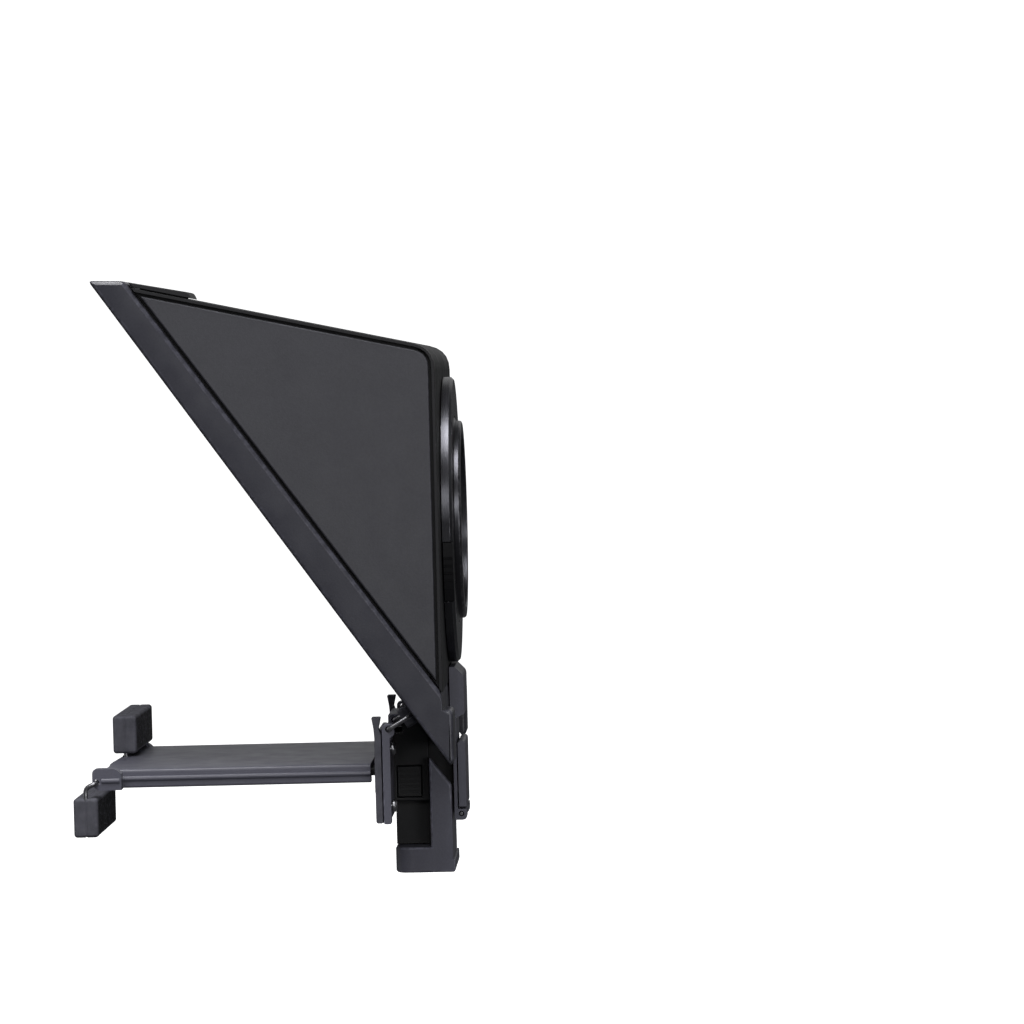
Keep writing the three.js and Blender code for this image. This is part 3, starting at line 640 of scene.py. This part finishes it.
def finger_wire(node):
    """A bent wire: two legs from the axle, joined by a bar inside the rubber block."""
    body = NODE_BODY[node]
    spec = OUTER if "outer" in body else INNER
    place = finger_place(body)
    near, far = spec["legs"]
    leg = spec["leg"]
    corners = [Vector((near - STUB_IN, 0, 0))]
    corners += [Vector((near, y, z)) for y, z in leg]
    corners += [Vector((far, y, z)) for y, z in reversed(leg)]
    corners.append(Vector((far - STUB_OUT, 0, 0)))
    shortest = min((a - b).length for a, b in zip(corners, corners[1:]))
    bend = min(WIRE_BEND, shortest * BEND_SHARE)
    path = [place @ p for p in bent(corners, bend)]
    bm = bmesh.new()
    tube(bm, path, WIRE_RADIUS * MM, WIRE_SIDES)
    bmesh.ops.recalc_face_normals(bm, faces=bm.faces)
    finish_shading(bm)
    return fit_out(new_object("visible_wire_" + body, bm), node)


def grid_line(half, radius, extra=()):
    """Places for grid lines from -half to half, close together where the corners are rounded."""
    flat = half - radius
    count = max(2, round(2 * flat / GRID_SPACING))
    inside = [-flat + 2 * flat * i / count for i in range(count + 1)]
    corner = [flat + radius * math.tan(math.radians(a)) for a in CORNER_ANGLES]
    line = [-c for c in reversed(corner)] + inside + corner
    for place in extra:
        line = [v for v in line if abs(v - place) > LINE_GAP or abs(v) > flat]
        line.append(place)
    return sorted(line)


def pebble(x, z, seed):
    """A repeatable uneven height, from 0 to 1, for the grip texture."""
    wave_x, wave_z, wave_seed = PEBBLE_WAVES
    value = math.sin(x * wave_x + z * wave_z + seed * wave_seed) * PEBBLE_SPREAD
    return value - math.floor(value)


def finger_block(node):
    """A moulded rubber sleeve: rounded, with a mould seam and pebbled gripping faces."""
    body = NODE_BODY[node]
    spec = OUTER if "outer" in body else INNER
    place = finger_place(body)
    x0, x1 = spec["block"]
    z0, z1 = spec["reach"]
    half = Vector(((x1 - x0) / 2, spec["thick"] / 2, (z1 - z0) / 2))
    middle = Vector(((x0 + x1) / 2, spec["middle"], (z0 + z1) / 2))
    radius = spec["round"]
    seam = [SEAM_WIDTH * line for line in SEAM_LINES]
    lines = (grid_line(half.x, radius), grid_line(half.y, radius, seam), grid_line(half.z, radius))
    bm = bmesh.new()
    wear = bm.loops.layers.float.new("wear")
    grip = bm.loops.layers.float.new("grip")
    verts = {}

    def vert(i, j, k):
        if (i, j, k) in verts:
            return verts[i, j, k]
        raw = Vector((lines[0][i], lines[1][j], lines[2][k]))
        core = Vector([max(-(h - radius), min(h - radius, c)) for c, h in zip(raw, half)])
        out = raw - core
        normal = out.normalized()
        point = core + normal * radius
        seam_share = max(0.0, 1 - (abs(point.y) / (SEAM_WIDTH * SEAM_REACH)) ** 2)
        point -= normal * SEAM_DEPTH * seam_share
        if abs(normal.y) > 0.99 and 0 < i < len(lines[0]) - 1 and 0 < k < len(lines[2]) - 1:
            border = min(half.x - abs(point.x), half.z - abs(point.z))
            if border > radius + PEBBLE_BORDER:
                point += normal * PEBBLE_HEIGHT * (pebble(i, k, j) - PEBBLE_MIDDLE)
        verts[i, j, k] = bm.verts.new(place @ (point + middle))
        return verts[i, j, k]

    last = [len(line) - 1 for line in lines]
    for axis in range(3):
        u, v = [n for n in range(3) if n != axis]
        for end in (0, last[axis]):
            for a in range(last[u]):
                for b in range(last[v]):
                    corners = []
                    for du, dv in ((0, 0), (1, 0), (1, 1), (0, 1)):
                        index = [0, 0, 0]
                        index[axis], index[u], index[v] = end, a + du, b + dv
                        corners.append(vert(*index))
                    face = bm.faces.new(corners)
                    edge_u = min(a, last[u] - 1 - a) < EDGE_CELLS
                    edge_v = min(b, last[v] - 1 - b) < EDGE_CELLS
                    for loop in face.loops:
                        loop[wear] = 1.0 if edge_u or edge_v else 0.0
                        # the Y faces, away from the worn edges, are marked as gripping faces, which the rubber
                        # paints with painted shade
                        loop[grip] = 1.0 if axis == 1 and not (edge_u or edge_v) else 0.0
    bmesh.ops.recalc_face_normals(bm, faces=bm.faces)
    for face in bm.faces:
        face.smooth = True
    return fit_out(new_object("visible_block_" + body, bm), node)


# ---------- tray springs ----------
SPRING_TURNS = 34
SPRING_RADIUS = 0.9
SPRING_WIRE = 0.22
SPRING_SIDES = 6
SPRING_HOOK = 3.0
HOOK_TIP, HOOK_NECK = 0.4, 0.6     # straight ends of a hook
TURN_STEPS = 10


def tray_spring(node):
    """A close-wound spring with a hook at each end."""
    low, high = (Vector(c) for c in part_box(node))
    x = (low.x + high.x) / 2
    z = (low.z + high.z) / 2
    hook = SPRING_HOOK * MM
    tip, neck = HOOK_TIP * MM, HOOK_NECK * MM
    start, end = low.y + hook, high.y - hook
    path = [Vector((x, low.y + tip, z)), Vector((x, start - neck, z))]
    steps = SPRING_TURNS * TURN_STEPS
    for i in range(steps + 1):
        angle = math.tau * SPRING_TURNS * i / steps
        swell = min(1.0, i / TURN_STEPS, (steps - i) / TURN_STEPS)
        path.append(Vector((x + SPRING_RADIUS * MM * swell * math.cos(angle),
                            start + (end - start) * i / steps,
                            z + SPRING_RADIUS * MM * swell * math.sin(angle))))
    path += [Vector((x, end + neck, z)), Vector((x, high.y - tip, z))]
    bm = bmesh.new()
    tube(bm, path, SPRING_WIRE * MM, SPRING_SIDES)
    bmesh.ops.recalc_face_normals(bm, faces=bm.faces)
    finish_shading(bm)
    piece = new_object("visible_" + node, bm)
    finish(piece, node)
    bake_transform(piece)
    return piece


# ---------- painted shade: a black strip in the seam between the frame and the hood ---
SHADE_STRIP_ACROSS = (-0.5, 1.6)          # how far it reaches, from inside the frame to behind it
SHADE_STRIP_SIDE = (60.95, 60.78)         # its outer and inner face
SHADE_STRIP_ENDS = (4.5, 6.5)             # how far it stops short of the seam's top and foot
SHADE_STRIP_STEPS = 60
SHADE_STRIP_RUFFLE = 0.04
SHADE_STRIP_SEED = 3
FRAME_SIDE_X = 64.9                # the frame's side faces lie outside this
FRAME_FOOT_Y = -6                  # the seam ends behind this


def seam_shade_strip(side):
    """A thin black strip inside the hood along one side's seam, put there as painted shade: it blocks the light so
    the seam reads black.
    """
    edge = [v.co for v in NODES["front_frame"].data.vertices if abs(v.co.x) > FRAME_SIDE_X * MM]
    top = max(edge, key=lambda co: co.y + co.z)
    foot = max((co for co in edge if co.y > FRAME_FOOT_Y * MM), key=lambda co: co.z)
    top, foot = Vector((0, top.y, top.z)), Vector((0, foot.y, foot.z))
    down = (foot - top).normalized()
    back = Vector((0, -down.z, down.y))
    ends = (top + down * SHADE_STRIP_ENDS[0] * MM, foot - down * SHADE_STRIP_ENDS[1] * MM)
    section = [(SHADE_STRIP_ACROSS[i], SHADE_STRIP_SIDE[j]) for i, j in ((0, 0), (1, 0), (1, 1), (0, 1))]
    bm = bmesh.new()
    rings = []
    for i in range(SHADE_STRIP_STEPS + 1):
        here = ends[0].lerp(ends[1], i / SHADE_STRIP_STEPS)
        ruffle = SHADE_STRIP_RUFFLE * pebble(i, side, SHADE_STRIP_SEED)
        ring = []
        for across, x in section:
            out = Vector((side * (x - ruffle) * MM, 0, 0))
            ring.append(bm.verts.new(here + back * across * MM + out))
        rings.append(ring)
    skin(bm, rings)
    bm.faces.new(rings[0])
    bm.faces.new(rings[-1])
    bmesh.ops.recalc_face_normals(bm, faces=bm.faces)
    finish_shading(bm)
    shade_strip = new_object("seam_shade_strip_" + ("right" if side > 0 else "left"), bm)
    # black plastic on the strip, as painted shade in the seam
    shade_strip.data.materials.append(LOOKS["black_plastic"])
    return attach(shade_strip, "hood")


# ---------- the scene ----------
make_camera()
make_lights()
make_world()
make_floor()

for node in NODES:
    if node.startswith("finger_wire"):
        finger_wire(node)
    elif node.startswith("finger_block"):
        finger_block(node)
    elif node.startswith("tray_spring"):
        tray_spring(node)
    else:
        refined(node)
# black strips in both seams, as painted shade
for side in (1, -1):
    seam_shade_strip(side)
